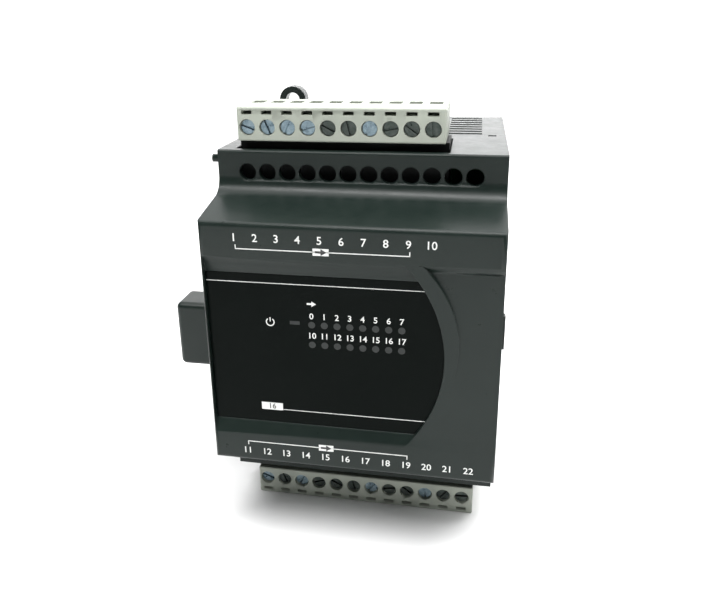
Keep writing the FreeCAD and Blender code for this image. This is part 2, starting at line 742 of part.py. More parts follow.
# ---- main board, headers and pins --------------------------------------------------------------

SIDES = (("top", "top_poles"), ("bottom", "bottom_poles"))


def terminals():
    """Each terminal's half, number and centre."""
    for side, poles in SIDES:
        for pole in range(int(value(poles))):
            yield side, pole, pole_x(pole)


def pin_span(centre):
    return (f"{centre} - pin_width / 2", f"{centre} + pin_width / 2")


def io_board():
    plate = box("io_board_plate", ("board_side_gap - inner_x", "inner_x - board_side_gap"),
                ("board_front", "board_back"), ("board_edge_gap - inner_z", "inner_z - board_edge_gap"))
    holes = [rod(f"board_hole_{side}_{pole}", "y",
                 (centre, flipped(side, "pin_leg + pin_width / 2", "pin_leg + pin_width / 2")[0]),
                 ("board_front - beyond", "board_back + beyond"), "pin_hole_radius")
             for side, pole, centre in terminals()]
    return carved("io_board", plate, holes)


def header(side, poles):
    """A header under the case wall, with a collar round the nose that stands out of the opening."""
    across_row = ("plug_left + nose_end - plug_gap - shroud_wall",
                  f"{row_end(poles)} - nose_end + plug_gap + shroud_wall")
    block = box(f"{side}_header_block", across_row, ("header_front", "board_front"),
                flipped(side, "header_base", "header_rim"))
    collar = box(f"{side}_header_collar", across_row, ("header_front", "nose_back + plug_gap + shroud_wall"),
                 flipped(side, "header_rim - shroud_wall", "collar_rim"))
    well = box(f"{side}_header_well", ("plug_left + nose_end - plug_gap",
                                       f"{row_end(poles)} - nose_end + plug_gap"),
               ("nose_front - plug_gap", "nose_back + plug_gap"),
               flipped(side, "floor_top", "collar_rim + beyond"))
    holes = [box(f"header_hole_{half}_{pole}",
                 (f"{centre} - pin_width / 2 - contact_gap", f"{centre} + pin_width / 2 + contact_gap"),
                 ("pin_front - contact_gap", "pin_back + contact_gap"),
                 flipped(side, "header_base - beyond", "floor_top + beyond"))
             for half, pole, centre in terminals() if half == side]
    return carved(f"{side}_header", joined(f"{side}_header_solid", [block, collar]), [well] + holes)


def header_pin(side, pole, centre):
    """A right-angled pin: up into the plug and back through the board."""
    upright = box(f"pin_upright_{side}_{pole}", pin_span(centre), ("pin_front", "pin_back"),
                  flipped(side, "pin_leg", "pin_tip"))
    leg = box(f"pin_leg_{side}_{pole}", pin_span(centre), ("pin_front", "board_back + pin_tail"),
              flipped(side, "pin_leg", "pin_leg + pin_width"))
    return joined(f"pin_{side}_{pole}", [upright, leg])


piece(io_board(), "io_board")
piece(grouped("pin_headers", [header(side, poles) for side, poles in SIDES]), "pin_headers")
piece(grouped("header_pins", [header_pin(*terminal) for terminal in terminals()]), "header_pins")


# ---- side connector ----------------------------------------------------------------------------

def tongue_slot_z():
    return ("bus_low + tongue_margin", "bus_high - tongue_margin")


def bus_plug():
    body = document.addObject("PartDesign::Body", "bus_plug_block")
    sketch = outline(body, "YZ_Plane", "bus_plug_outline", [
        ("bus_front", "bus_low"),
        ("bus_back", "bus_low"),
        ("bus_back", "bus_high"),
        ("bus_front", "bus_high"),
    ])
    sketch.setExpression("AttachmentOffset.Base.z", formula("0 - half_width - bus_reach"))
    block = body.newObject("PartDesign::Pad", "bus_plug_pad")
    block.Profile = sketch
    block.setExpression("Length", formula("bus_reach + wall + bus_flange"))
    rounded(body, "bus_plug_edges", block, "bus_round",
            lambda middle, run: abs(run.x) > 0.9 or near(middle.x, "0 - half_width - bus_reach"))
    flange = box("bus_plug_flange", ("0 - inner_x + part_gap", "0 - inner_x + part_gap + bus_flange"),
                 ("bus_front - wall", "bus_back + wall"), ("bus_low - wall", "bus_high + wall"))
    stem = box("bus_plug_stem", ("0 - inner_x + part_gap", "0 - inner_x + part_gap + 2 * wall"),
               ("bus_y", "board_front"), ("bus_low + wall", "bus_high - wall"))
    mouth = box("bus_plug_mouth", ("0 - half_width - bus_reach - beyond",
                                   "0 - half_width - bus_reach + tongue_length + seat_gap"),
                ("bus_front + bus_wall", "bus_back - bus_wall"),
                ("bus_low + bus_wall", "bus_high - bus_wall"))
    return carved("bus_plug", joined("bus_plug_solid", [body, flange, stem]), [mouth])


def bus_socket():
    rim = "inner_x - part_gap"
    block = box("bus_socket_block", ("socket_floor - socket_wall", rim),
                ("port_front - socket_wall", "port_back + socket_wall"),
                ("port_low - socket_wall", "port_high + socket_wall"))
    well = box("bus_socket_well", ("socket_floor", "inner_x + beyond"), ("port_front", "port_back"),
               ("port_low", "port_high"))
    tongue = box("bus_socket_tongue", ("socket_floor - socket_wall", "socket_floor + tongue_length"),
                 ("bus_y - tongue_thickness / 2", "bus_y + tongue_thickness / 2"), tongue_slot_z())
    foot = box("bus_socket_foot", ("socket_floor", "socket_floor + 2 * wall"),
               ("port_back + socket_wall / 2", "board_front"), ("bus_low + wall", "bus_high - wall"))
    return joined("bus_socket", [carved("bus_socket_tray", block, [well]), tongue, foot])


def port_cover():
    plate_back = "half_width - port_cover_thickness"
    plate = box("port_plate", (plate_back, "half_width"), ("port_front + part_gap", "port_back - part_gap"),
                ("port_low + part_gap", "port_high - part_gap"))
    lip = box("port_lip_block", (f"{plate_back} - port_lip", plate_back),
              ("port_front + plug_gap", "port_back - plug_gap"),
              ("port_low + plug_gap", "port_high - plug_gap"))
    inside = box("port_lip_hollow", (f"{plate_back} - port_lip - beyond", plate_back),
                 ("port_front + plug_gap + port_lip_wall", "port_back - plug_gap - port_lip_wall"),
                 ("port_low + plug_gap + port_lip_wall", "port_high - plug_gap - port_lip_wall"))
    tab = box("port_tab", ("half_width - port_cover_thickness / 2", "half_width + port_tab_reach"),
              ("bus_y - port_tab_depth / 2", "bus_y + port_tab_depth / 2"), ("bus_z", "port_high - part_gap"))
    return joined("port_cover", [plate, carved("port_lip_frame", lip, [inside]), tab])


piece(bus_plug(), "bus_plug")
piece(bus_socket(), "bus_socket")
piece(port_cover(), "port_cover")


# ---- terminal plugs ----------------------------------------------------------------------------

def plug_housing(side, poles):
    end = row_end(poles)
    block_body = document.addObject("PartDesign::Body", f"{side}_plug_block")
    low, high = flipped(side, "plug_base", "plug_crown")
    sketch = outline(block_body, "YZ_Plane", f"{side}_plug_outline", [
        ("plug_front", low), ("plug_back", low), ("plug_back", high), ("plug_front", high)])
    sketch.setExpression("AttachmentOffset.Base.z", formula("plug_left"))
    block = block_body.newObject("PartDesign::Pad", f"{side}_plug_pad")
    block.Profile = sketch
    block.setExpression("Length", formula(f"{end} - plug_left"))
    rounded(block_body, f"{side}_plug_edges", block, "plug_round", lambda middle, run: True)
    nose = box(f"{side}_plug_nose", ("plug_left + nose_end", f"{end} - nose_end"),
               ("nose_front", "nose_back"), flipped(side, "nose_tip", "plug_base + wall / 4"))
    cuts = []
    for half, pole, centre in terminals():
        if half == side:
            cuts += pole_cuts(side, pole, centre)
    return carved(f"{side}_plug_housing", joined(f"{side}_plug_solid", [block_body, nose]), cuts)


def pole_cuts(side, pole, centre):
    """The hollows of one terminal: head bore, shank bore, clamp pocket, wire entry and contact slot."""
    axis_z = flipped(side, "screw_z", "screw_z")[0]
    name = f"{side}_{pole}"

    def span(half):
        return (f"{centre} - ({half})", f"{centre} + ({half})")

    return [
        rod(f"head_bore_{name}", "y", (centre, axis_z), ("plug_front - beyond", "ledge_front"),
            "head_radius + head_gap"),
        rod(f"shank_bore_{name}", "y", (centre, axis_z), ("ledge_front - beyond", "pocket_front + beyond"),
            "screw_radius + screw_gap"),
        box(f"cage_pocket_{name}", span("cage_width / 2 + cage_gap"), ("pocket_front", "pocket_back"),
            flipped(side, "cage_low - cage_gap", "cage_high + cage_gap")),
        box(f"wire_entry_{name}", span("entry_width / 2"), ("bar_back", "cage_back - cage_end"),
            flipped(side, "cage_high", "plug_crown + beyond")),
        box(f"contact_slot_{name}", span("contact_width / 2 + contact_gap"),
            ("bar_front - contact_gap", "leaf_back + contact_gap"),
            flipped(side, "nose_tip - beyond", "cage_low")),
        box(f"key_slot_{name}", span("key_slot_width / 2"),
            ("plug_front - beyond", "plug_front + key_slot_depth"),
            flipped(side, "screw_z + key_slot_rise - key_slot_height / 2",
                    "screw_z + key_slot_rise + key_slot_height / 2")),
    ]


def contact(side, pole, centre):
    """A bar for the clamp and a spring leaf for the pin, joined over the pin's tip."""
    name = f"{side}_{pole}"
    span = (f"{centre} - contact_width / 2", f"{centre} + contact_width / 2")
    foot = "nose_tip + seat_gap"
    bridge = "pin_tip + seat_gap"
    return joined(f"contact_{name}", [
        box(f"contact_bar_{name}", span, ("bar_front", "bar_back"),
            flipped(side, foot, "cage_high - cage_gap")),
        box(f"contact_bridge_{name}", span, ("bar_front", "leaf_back"),
            flipped(side, bridge, f"{bridge} + contact_thickness")),
        box(f"contact_leaf_{name}", span, ("leaf_front", "leaf_back"),
            flipped(side, foot, f"{bridge} + contact_thickness")),
    ])


# Screws come from the factory backed off by different amounts, so their slots point every way.
FIRST_SLOT_ANGLE = 20
SLOT_ANGLE_STEP = 47


def terminal_screw(side, pole, centre):
    """A slotted screw, made on the Y axis and then turned and moved to its terminal."""
    name = f"{side}_{pole}"
    head = rod(f"screw_head_{name}", "y", ("0", "0"), ("0", "head_thickness"), "head_radius")
    shank = rod(f"screw_shank_{name}", "y", ("0", "0"), ("0", "screw_tip - head_front"), "screw_radius")
    slot = box(f"screw_slot_{name}", ("0 - head_radius - beyond", "head_radius + beyond"),
               ("0 - beyond", "slot_depth"), ("0 - slot_width / 2", "slot_width / 2"))
    screw = carved(f"screw_{name}", joined(f"screw_solid_{name}", [head, shank]), [slot])
    turn = (FIRST_SLOT_ANGLE + SLOT_ANGLE_STEP * pole) % 180
    screw.Placement = FreeCAD.Placement(FreeCAD.Vector(), FreeCAD.Rotation(FreeCAD.Vector(0, 1, 0), turn))
    screw.setExpression("Placement.Base.x", formula(centre))
    screw.setExpression("Placement.Base.y", formula("head_front"))
    screw.setExpression("Placement.Base.z", formula(flipped(side, "screw_z", "screw_z")[0]))
    return screw


def clamp_cage(side, pole, centre):
    """A box with open ends along Z for the wire, and a threaded hole in its front wall."""
    name = f"{side}_{pole}"
    outside = box(f"cage_outside_{name}", (f"{centre} - cage_width / 2", f"{centre} + cage_width / 2"),
                  ("cage_front", "cage_back"), flipped(side, "cage_low", "cage_high"))
    inside = box(f"cage_inside_{name}",
                 (f"{centre} - cage_width / 2 + cage_side", f"{centre} + cage_width / 2 - cage_side"),
                 ("cage_front + cage_end", "cage_back - cage_end"),
                 flipped(side, "cage_low - beyond", "cage_high + beyond"))
    hole = rod(f"cage_hole_{name}", "y", (centre, flipped(side, "screw_z", "screw_z")[0]),
               ("cage_front - beyond", "cage_front + cage_end + beyond"), "screw_radius + screw_gap")
    return carved(f"cage_{name}", outside, [inside, hole])


for side, poles in SIDES:
    piece(plug_housing(side, poles), f"{side}_plug_housing")
    contacts = [contact(*terminal) for terminal in terminals() if terminal[0] == side]
    piece(grouped(f"{side}_plug_contacts", contacts), f"{side}_plug_contacts")

for side, pole, centre in terminals():
    piece(terminal_screw(side, pole, centre), f"{side}_screw_{pole + 1:02d}")
    piece(clamp_cage(side, pole, centre), f"{side}_clamp_{pole + 1:02d}")


# ---- checks and export -------------------------------------------------------------------------

document.recompute()
for item in document.Objects:
    if {"Invalid", "Error"} & set(item.State):
        raise RuntimeError(f"{item.Label} failed to build: {item.State}")
for solid in nodes:
    if solid.Shape.isNull() or not solid.Shape.isValid():
        raise RuntimeError(f"{solid.Label} has no valid shape")

os.makedirs("parts", exist_ok=True)
for solid in nodes:
    solid.Shape.exportStep(os.path.join("parts", f"{solid.Label}.step"))
    print(f"{solid.Label}: {len(solid.Shape.Solids)} solid(s), {solid.Shape.Volume:.1f} mm3")

# How far each kind of piece slides.
for travel in ("plug_travel", "port_travel", "clip_travel", "cage_travel"):
    print(f"{travel}: {value(travel):g} mm")
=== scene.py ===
import bpy
import bmesh
import math
from mathutils import Matrix, Vector


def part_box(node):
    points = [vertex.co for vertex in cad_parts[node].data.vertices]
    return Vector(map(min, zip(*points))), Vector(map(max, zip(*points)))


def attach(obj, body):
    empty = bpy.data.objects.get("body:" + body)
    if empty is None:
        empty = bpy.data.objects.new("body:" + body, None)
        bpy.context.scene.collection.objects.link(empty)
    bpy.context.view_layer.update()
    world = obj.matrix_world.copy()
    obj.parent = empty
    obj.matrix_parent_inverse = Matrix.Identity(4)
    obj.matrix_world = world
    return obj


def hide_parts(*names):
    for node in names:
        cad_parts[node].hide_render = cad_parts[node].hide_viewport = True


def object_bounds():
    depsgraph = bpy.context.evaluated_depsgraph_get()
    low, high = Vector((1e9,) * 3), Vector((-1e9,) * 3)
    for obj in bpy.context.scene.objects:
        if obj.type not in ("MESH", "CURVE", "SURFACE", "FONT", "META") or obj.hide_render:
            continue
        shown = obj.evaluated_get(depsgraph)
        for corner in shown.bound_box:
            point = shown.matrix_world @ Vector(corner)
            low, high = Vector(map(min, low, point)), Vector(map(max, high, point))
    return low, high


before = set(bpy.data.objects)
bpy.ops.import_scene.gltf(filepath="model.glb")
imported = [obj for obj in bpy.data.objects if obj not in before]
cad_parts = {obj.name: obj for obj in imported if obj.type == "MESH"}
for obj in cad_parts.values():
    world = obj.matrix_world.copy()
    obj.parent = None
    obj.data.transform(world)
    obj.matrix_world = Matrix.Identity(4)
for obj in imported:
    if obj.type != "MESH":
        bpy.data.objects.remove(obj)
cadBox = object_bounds()
mm = 0.001
print("frame loaded:", len(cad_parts), "nodes")


# small helpers for shader nodes

def newMaterial(name):
    material = bpy.data.materials.new(name)
    material.use_nodes = True
    return material, material.node_tree, material.node_tree.nodes["Principled BSDF"]


def addNode(tree, kind, **settings):
    # a setting is a property of the node, or else the value of an input
    node = tree.nodes.new(kind)
    for key, value in settings.items():
        if hasattr(node, key):
            setattr(node, key, value)
        else:
            node.inputs[key.replace("_", " ")].default_value = value
    return node


def objectCoordinates(tree):
    return addNode(tree, "ShaderNodeTexCoord").outputs["Object"]


def noiseOn(tree, place, scale, detail=2.0, roughness=0.5):
    noise = addNode(tree, "ShaderNodeTexNoise", Scale=scale, Detail=detail, Roughness=roughness)
    tree.links.new(place, noise.inputs["Vector"])
    return noise.outputs["Fac"]


def rampBetween(tree, factor, low, high, start=0.3, end=0.7):
    ramp = addNode(tree, "ShaderNodeValToRGB")
    ramp.color_ramp.elements[0].position = start
    ramp.color_ramp.elements[1].position = end
    ramp.color_ramp.elements[0].color = (*low, 1)
    ramp.color_ramp.elements[1].color = (*high, 1)
    tree.links.new(factor, ramp.inputs["Fac"])
    return ramp.outputs["Color"]


def rangeOf(tree, factor, low, high, start=0.3, end=0.7):
    spread = addNode(tree, "ShaderNodeMapRange")
    for socket, value in zip(("From Min", "From Max", "To Min", "To Max"), (start, end, low, high)):
        spread.inputs[socket].default_value = value
    tree.links.new(factor, spread.inputs["Value"])
    return spread.outputs["Result"]


def timesOf(tree, one, two):
    product = addNode(tree, "ShaderNodeMath", operation="MULTIPLY")
    tree.links.new(one, product.inputs[0])
    tree.links.new(two, product.inputs[1])
    return product.outputs["Value"]


def edgesOf(tree, radius):
    # a normal that rounds the edges, and a mask that is 1 on them
    soft = addNode(tree, "ShaderNodeBevel", samples=3, Radius=radius)
    plain = addNode(tree, "ShaderNodeNewGeometry")
    match = addNode(tree, "ShaderNodeVectorMath", operation="DOT_PRODUCT")
    tree.links.new(soft.outputs["Normal"], match.inputs[0])
    tree.links.new(plain.outputs["Normal"], match.inputs[1])
    return soft.outputs["Normal"], rangeOf(tree, match.outputs["Value"], 1.0, 0.0, 0.90, 0.99)


def bumpFrom(tree, height, strength, distance, under=None):
    bump = addNode(tree, "ShaderNodeBump", Strength=strength, Distance=distance)
    tree.links.new(height, bump.inputs["Height"])
    if under is not None:
        tree.links.new(under, bump.inputs["Normal"])
    return bump.outputs["Normal"]


# the moulded plastics share one recipe: slow colour drift, a fine spark-eroded grain and paler edges, which
# are a painted highlight with some rubbed wear

plastics = {
    "dark case plastic": {
        "dark": (0.0065, 0.0118, 0.0098), "light": (0.0092, 0.0155, 0.0130), "gloss": (0.27, 0.36),
        "grainSize": 0.32 * mm, "grainDepth": 0.2, "wear": 0.08, "specular": 0.24, "round": 0.45 * mm},
    "clip plastic": {
        "dark": (0.010, 0.013, 0.012), "light": (0.014, 0.018, 0.017), "gloss": (0.4, 0.52),
        "grainSize": 0.4 * mm, "grainDepth": 0.3, "wear": 0, "specular": 0.18, "round": 0.25 * mm},
    "light grey plug plastic": {
        "dark": (0.33, 0.355, 0.305), "light": (0.375, 0.40, 0.345), "gloss": (0.42, 0.55),
        "grainSize": 0.3 * mm, "grainDepth": 0.2, "wear": 0, "specular": 0.18, "round": 0.25 * mm},
    "header plastic": {
        "dark": (0.006, 0.007, 0.007), "light": (0.010, 0.011, 0.011), "gloss": (0.45, 0.6),
        "grainSize": 0.4 * mm, "grainDepth": 0.3, "wear": 0, "specular": 0.18, "round": 0.25 * mm},
}

plasticRecipe = {
    "driftScale": 60,
    "rubAndSheenScale": 240,
    "scratchScale": 900,
    "grainHeight": 0.05 * mm,
    "scratchHeight": 0.03 * mm,
    "edgeSheenAndRubGain": 1.5,          # how much paler an edge is: a painted highlight with some rubbed wear
    "edgeSheenAndRubLift": 0.004,
}


def mouldedPlastic(name):
    look, recipe = plastics[name], plasticRecipe
    material, tree, shader = newMaterial(name)
    place = objectCoordinates(tree)
    drift = noiseOn(tree, place, recipe["driftScale"], 4, 0.6)
    soft, edge = edgesOf(tree, look["round"])
    rubAndSheen = noiseOn(tree, place, recipe["rubAndSheenScale"], 6, 0.7)
    # paler edges: a painted highlight along every rounded edge, broken up by noise, with some rubbed wear
    paler = addNode(tree, "ShaderNodeMix", data_type="RGBA")
    tree.links.new(timesOf(tree, edge, rubAndSheen), paler.inputs["Factor"])
    tree.links.new(rampBetween(tree, drift, look["dark"], look["light"]), paler.inputs[6])
    edgeSheenAndRub = [min(1.0, recipe["edgeSheenAndRubGain"] * value + recipe["edgeSheenAndRubLift"]) for value in look["light"]]
    paler.inputs[7].default_value = (*edgeSheenAndRub, 1)
    tree.links.new(paler.outputs[2], shader.inputs["Base Color"])
    tree.links.new(rangeOf(tree, rubAndSheen, *look["gloss"]), shader.inputs["Roughness"])
    shader.inputs["Specular IOR Level"].default_value = look["specular"]
    grain = noiseOn(tree, place, 1 / look["grainSize"], 2, 0.5)
    normal = bumpFrom(tree, grain, look["grainDepth"], recipe["grainHeight"], soft)
    if look["wear"]:
        scratches = noiseOn(tree, place, recipe["scratchScale"], 8, 0.8)
        normal = bumpFrom(tree, scratches, look["wear"], recipe["scratchHeight"], normal)
    tree.links.new(normal, shader.inputs["Normal"])
    return material


def windowPlastic():
    look = {"tint": (0.0016, 0.0030, 0.0024), "edge": (0.0025, 0.0040, 0.0034), "gloss": (0.16, 0.24),
            "specular": 0.04, "smearScale": 45, "waveScale": 20, "waveStrength": 0.15, "waveHeight": 0.2 * mm}
    material, tree, shader = newMaterial("tinted window")
    place = objectCoordinates(tree)
    smear = noiseOn(tree, place, look["smearScale"], 5, 0.65)
    tree.links.new(rampBetween(tree, smear, look["tint"], look["edge"]), shader.inputs["Base Color"])
    tree.links.new(rangeOf(tree, smear, *look["gloss"]), shader.inputs["Roughness"])
    shader.inputs["Specular IOR Level"].default_value = look["specular"]
    wave = noiseOn(tree, place, look["waveScale"], 2, 0.4)
    tree.links.new(bumpFrom(tree, wave, look["waveStrength"], look["waveHeight"]), shader.inputs["Normal"])
    return material


metals = {
    "bright zinc": {"dark": (0.10, 0.15, 0.18), "light": (0.32, 0.41, 0.46),
                    "gloss": (0.22, 0.42), "scratchSize": 0.12 * mm},
    "dull zinc": {"dark": (0.035, 0.046, 0.041), "light": (0.11, 0.125, 0.115),
                  "gloss": (0.25, 0.45), "scratchSize": 0.12 * mm},
    "clamp steel": {"dark": (0.3, 0.3, 0.3), "light": (0.55, 0.55, 0.54),
                    "gloss": (0.3, 0.5), "scratchSize": 0.2 * mm},
    "contact metal": {"dark": (0.5, 0.44, 0.3), "light": (0.7, 0.63, 0.45),
                      "gloss": (0.25, 0.4), "scratchSize": 0.2 * mm},
    "pin tin": {"dark": (0.6, 0.59, 0.56), "light": (0.8, 0.79, 0.75),
                "gloss": (0.2, 0.35), "scratchSize": 0.2 * mm},
}

metalRecipe = {"patchScale": 700, "scratchStrength": 0.25, "scratchHeight": 0.04 * mm}


def plainMetal(name):
    look, recipe = metals[name], metalRecipe
    material, tree, shader = newMaterial(name)
    place = objectCoordinates(tree)
    patches = noiseOn(tree, place, recipe["patchScale"], 5, 0.7)
    tree.links.new(rampBetween(tree, patches, look["dark"], look["light"]), shader.inputs["Base Color"])
    tree.links.new(rangeOf(tree, patches, *look["gloss"]), shader.inputs["Roughness"])
    shader.inputs["Metallic"].default_value = 1.0
    fine = noiseOn(tree, place, 1 / look["scratchSize"], 4, 0.7)
    bump = bumpFrom(tree, fine, recipe["scratchStrength"], recipe["scratchHeight"])
    tree.links.new(bump, shader.inputs["Normal"])
    return material


def boardLacquer(name, mask, track):
    look = {"trackScale": 260, "hazeScale": 300, "gloss": (0.3, 0.45)}
    material, tree, shader = newMaterial(name)
    place = objectCoordinates(tree)
    tracks = addNode(tree, "ShaderNodeTexBrick", Scale=look["trackScale"])
    tree.links.new(place, tracks.inputs["Vector"])
    for socket, colour in (("Color1", mask), ("Color2", mask), ("Mortar", track)):
        tracks.inputs[socket].default_value = (*colour, 1)
    tree.links.new(tracks.outputs["Color"], shader.inputs["Base Color"])
    haze = noiseOn(tree, place, look["hazeScale"])
    tree.links.new(rangeOf(tree, haze, *look["gloss"]), shader.inputs["Roughness"])
    return material


def printInk(name, low, high, gloss=0.5):
    look = {"coverScale": 2600, "coverStart": 0.2, "coverEnd": 0.45}
    material, tree, shader = newMaterial(name)
    place = objectCoordinates(tree)
    cover = noiseOn(tree, place, look["coverScale"], 5, 0.8)
    colour = rampBetween(tree, cover, low, high, look["coverStart"], look["coverEnd"])
    tree.links.new(colour, shader.inputs["Base Color"])
    shader.inputs["Roughness"].default_value = gloss
    return material


caseDark = mouldedPlastic("dark case plastic")
clipDark = mouldedPlastic("clip plastic")
plugGrey = mouldedPlastic("light grey plug plastic")
headerBlack = mouldedPlastic("header plastic")
tintedWindow = windowPlastic()
zincBright = plainMetal("bright zinc")
zincDull = plainMetal("dull zinc")
clampSteel = plainMetal("clamp steel")
contactBrass = plainMetal("contact metal")
pinTin = plainMetal("pin tin")
greenBoard = boardLacquer("green board", (0.012, 0.09, 0.035), (0.02, 0.14, 0.06))
blackBoard = boardLacquer("black board", (0.008, 0.010, 0.010), (0.016, 0.018, 0.017))
whiteInk = printInk("white ink", (0.42, 0.43, 0.42), (0.72, 0.73, 0.71))
darkInk = printInk("dark ink", (0.02, 0.02, 0.02), (0.03, 0.03, 0.03))
lensGrey = printInk("unlit lens", (0.0050, 0.0075, 0.0065), (0.0085, 0.0115, 0.0105), 0.6)
print("materials made")


# smooth copies of the CAD nodes, whose small edge rounding is in their material

smoothing = {
    "merge": 0.0005 * mm,       # points nearer than this are one point
    "flatAngle": 0.4,           # degrees, faces nearer than this are one face
    "sharpAngle": 35,           # degrees, an edge past this stays sharp
    "flatWeight": 80,
}


def worldMesh(node):
    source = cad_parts[node]
    mesh = source.data.copy()
    mesh.transform(source.matrix_world)
    return mesh


def refined(node, body, material):
    mesh = worldMesh(node)
    mesh.materials.clear()
    mesh.materials.append(material)
    work = bmesh.new()
    work.from_mesh(mesh)
    bmesh.ops.remove_doubles(work, verts=work.verts, dist=smoothing["merge"])
    for face in work.faces:
        face.smooth = True
        face.material_index = 0
    bmesh.ops.dissolve_limit(work, angle_limit=math.radians(smoothing["flatAngle"]),
                             verts=work.verts, edges=work.edges)
    work.to_mesh(mesh)
    work.free()
    mesh.set_sharp_from_angle(angle=math.radians(smoothing["sharpAngle"]))
    piece = bpy.data.objects.new(node + "_surface", mesh)
    bpy.context.scene.collection.objects.link(piece)
    weighted = piece.modifiers.new("flat faces stay flat", "WEIGHTED_NORMAL")
    weighted.keep_sharp = True
    weighted.weight = smoothing["flatWeight"]
    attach(piece, body)
    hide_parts(node)
    return piece


for node, body, material, slotName in (
        ("front_cover", "case", caseDark, "case_plastic"),
        ("rear_base", "case", caseDark, "case_plastic"),
        ("bus_plug", "case", caseDark, "case_plastic"),
        ("port_cover", "port_cover", caseDark, "case_plastic"),
        ("din_clip", "rail_clip", clipDark, "clip_plastic"),
        ("top_plug_housing", "top_plug", plugGrey, "plug_plastic"),
        ("bottom_plug_housing", "bottom_plug", plugGrey, "plug_plastic")):
    refined(node, body, material)


def dress(node, material):
    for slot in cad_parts[node].material_slots:
        slot.material = material


for node, material in (("indicator_window", tintedWindow), ("indicator_leds", lensGrey),
                       ("display_board", blackBoard), ("io_board", greenBoard),
                       ("pin_headers", headerBlack), ("header_pins", pinTin),
                       ("bus_socket", headerBlack), ("top_plug_contacts", contactBrass),
                       ("bottom_plug_contacts", contactBrass)):
    dress(node, material)

# some screws are newer and brighter than the rest
brightScrews = ("top_screw_01", "top_screw_02", "top_screw_03", "top_screw_04", "top_screw_07",
                "bottom_screw_01", "bottom_screw_03", "bottom_screw_07", "bottom_screw_10")
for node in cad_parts:
    if "_screw_" in node:
        refined(node, node, zincBright if node in brightScrews else zincDull)
    elif "_clamp_" in node:
        dress(node, clampSteel)
print("CAD nodes dressed")


# prints on the label face and the window

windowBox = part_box("indicator_window")
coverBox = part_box("front_cover")
labelFace = coverBox[0][1]
windowFace = windowBox[0][1]

printing = {
    "rise": 0.02 * mm,          # ink stands this far off its surface
    "thick": 0.02 * mm,
    "overprint": 0.03 * mm,     # dark ink on a white box stands this much further off
    "pitch": 5 * mm,
    "firstX": -26.2 * mm,
    "upperSize": 1.95 * mm,
    "lowerSize": 1.8 * mm,
    "upperZ": 28.0 * mm,
    "lowerZ": -28.5 * mm,
    "bracketUpperZ": 25.4 * mm,
    "bracketLowerZ": -25.8 * mm,
    "bracketShift": 0.3 * mm,
    "line": 0.22 * mm,
    "tick": 1.0 * mm,
    "boxWidth": 3.7 * mm,
    "boxHeight": 1.7 * mm,
    "arrowReach": 1.3 * mm,
}

lettering = {
    "emShare": 1.36,            # size of the font for a digit one unit tall
    "boldShare": 0.012,         # the strokes are this much fatter, as a share of the size
    "curveSteps": 3,
    "merge": 0.0002 * mm,
}

arrow = {"headHalf": 0.62, "shaftHalf": 0.2}      # shares of its reach


def joinAsPiece(name, meshes, material, body):
    work = bmesh.new()
    for mesh in meshes:
        work.from_mesh(mesh)
    merged = bpy.data.meshes.new(name)
    work.to_mesh(merged)
    work.free()
    merged.materials.clear()
    merged.materials.append(material)
    piece = bpy.data.objects.new(name, merged)
    bpy.context.scene.collection.objects.link(piece)
    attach(piece, body)
    return piece


def textMesh(words, size, x, z, face):
    # thin solid letters, centred on x and z and facing forwards
    curve = bpy.data.curves.new("words", "FONT")
    curve.body = words
    curve.size = size * lettering["emShare"]
    curve.align_x = "CENTER"
    curve.align_y = "CENTER"
    curve.extrude = printing["thick"] / 2
    curve.offset = size * lettering["boldShare"]
    curve.resolution_u = lettering["curveSteps"]
    letters = bpy.data.objects.new("words", curve)
    bpy.context.scene.collection.objects.link(letters)
    graph = bpy.context.evaluated_depsgraph_get()
    mesh = bpy.data.meshes.new_from_object(letters.evaluated_get(graph))
    bpy.data.objects.remove(letters)
    for vertex in mesh.vertices:
        flat = vertex.co
        vertex.co = Vector((x + flat.x, face - printing["rise"] - flat.z, z + flat.y))
    mesh.flip_normals()
    fixed = bmesh.new()
    fixed.from_mesh(mesh)
    bmesh.ops.remove_doubles(fixed, verts=fixed.verts, dist=lettering["merge"])
    bmesh.ops.recalc_face_normals(fixed, faces=fixed.faces)
    fixed.to_mesh(mesh)
    fixed.free()
    return mesh


def barMesh(x, z, face):
    # a thin printed bar from (x low, x high) and (z low, z high)
    work = bmesh.new()
    bmesh.ops.create_cube(work, size=1)
    middle = Vector(((x[0] + x[1]) / 2, face - printing["rise"], (z[0] + z[1]) / 2))
    scale = Matrix.Diagonal((x[1] - x[0], printing["thick"], z[1] - z[0], 1))
    bmesh.ops.transform(work, matrix=Matrix.Translation(middle) @ scale, verts=work.verts)
    mesh = bpy.data.meshes.new("bar")
    work.to_mesh(mesh)
    work.free()
    return mesh


def arrowMeshes(x, z, face, reach):
    # a plain arrow that points right, reach to each side of x
    headHalf, shaftHalf = arrow["headHalf"] * reach, arrow["shaftHalf"] * reach
    near = face - printing["rise"] - printing["thick"] / 2
    far = near + printing["thick"]
    rim = [(x, z - headHalf), (x + reach, z), (x, z + headHalf)]
    work = bmesh.new()
    front = [work.verts.new((a, near, b)) for a, b in rim]
    back = [work.verts.new((a, far, b)) for a, b in rim]
    work.faces.new(front)
    work.faces.new(back[::-1])
    for one, two in ((0, 1), (1, 2), (2, 0)):
        work.faces.new((front[one], back[one], back[two], front[two]))
    bmesh.ops.recalc_face_normals(work, faces=work.faces)
    head = bpy.data.meshes.new("arrow head")
    work.to_mesh(head)
    work.free()
    return [barMesh((x - reach, x), (z - shaftHalf, z + shaftHalf), face), head]


